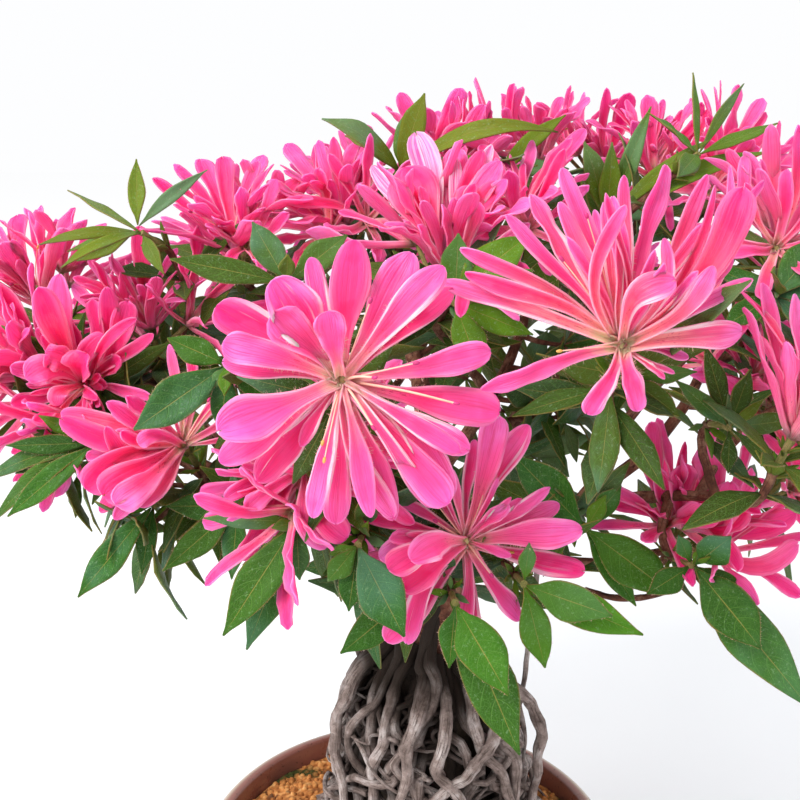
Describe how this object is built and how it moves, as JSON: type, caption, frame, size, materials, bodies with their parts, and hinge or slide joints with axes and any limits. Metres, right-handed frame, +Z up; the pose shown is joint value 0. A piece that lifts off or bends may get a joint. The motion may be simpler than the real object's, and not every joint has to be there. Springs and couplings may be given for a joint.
{
  "type": "flowering bonsai tree",
  "caption": "Satsuki azalea bonsai in the exposed-root style, with strap-shaped pink petals, in a round glazed pot, for display on a shelf.",
  "frame": {"origin": "middle of the bounding box's footprint, on the shelf that the pot's foot ring stands on", "axes": "+X to the right and +Y away from someone who faces the tree's front, +Z up along the pot's axis"},
  "size_m": [0.2332, 0.1928, 0.2485],
  "materials": {
    "pot": "reddish-brown glaze, glossy, with a thinner beige-grey lip",
    "soil": "crushed orange-brown clay granules with dark moss, matt",
    "wood": "grey-taupe roots, red-brown scaly bark on the branches, matt",
    "petal": "soft satin petals, coral at the throat to hot pink at the tip, with white margins",
    "leaf": "glossy green leaves with a pale midrib"
  },
  "bodies": {
    "root": {"pot": "pot", "soil": "soil", "tree": "wood", "bloom_front_left": "petal", "bloom_front_right": "petal", "bloom_front_low": "petal", "bloom_left_low": "petal", "bloom_under_front_left": "petal", "bloom_left_middle": "petal", "bloom_left_edge": "petal", "bloom_left_high": "petal", "bloom_left_back": "petal", "bloom_top_left": "petal", "bloom_top_left_inner": "petal", "bloom_top_middle": "petal", "bloom_top_front": "petal", "bloom_top_inner": "petal", "bloom_top_back": "petal", "bloom_top_right_back": "petal", "bloom_top_right_middle": "petal", "bloom_top_right": "petal", "bloom_right_high": "petal", "bloom_right_front": "petal", "bloom_right_low": "petal", "bloom_right_inner": "petal", "bloom_right_edge": "petal", "bloom_right_edge_low": "petal", "bloom_back_left": "petal", "bloom_back_left_low": "petal", "bloom_back_middle": "petal", "bloom_back_high": "petal", "bloom_back_right": "petal", "bloom_back_right_side": "petal", "leaves_left_low_edge": "leaf", "leaves_left_below": "leaf", "leaves_left_hanging": "leaf", "leaves_low_front_left": "leaf", "leaves_low_front": "leaf", "leaves_low_middle": "leaf", "leaves_bottom": "leaf", "leaves_bottom_right": "leaf", "leaves_right_of_trunk": "leaf", "leaves_right_low_front": "leaf", "leaves_right_narrow": "leaf", "leaves_under_front_right": "leaf", "leaves_between_fronts": "leaf", "leaves_behind_front_left": "leaf", "leaves_left_front": "leaf", "leaves_left_top": "leaf", "leaves_left_side": "leaf", "leaves_top_left": "leaf", "leaves_top_middle": "leaf", "leaves_top_right": "leaf", "leaves_top_right_back": "leaf", "leaves_right_top": "leaf", "leaves_right_side": "leaf", "leaves_back_left": "leaf", "leaves_back_middle": "leaf", "leaves_back_right": "leaf", "leaves_back_low": "leaf"}
  },
  "joints": []
}
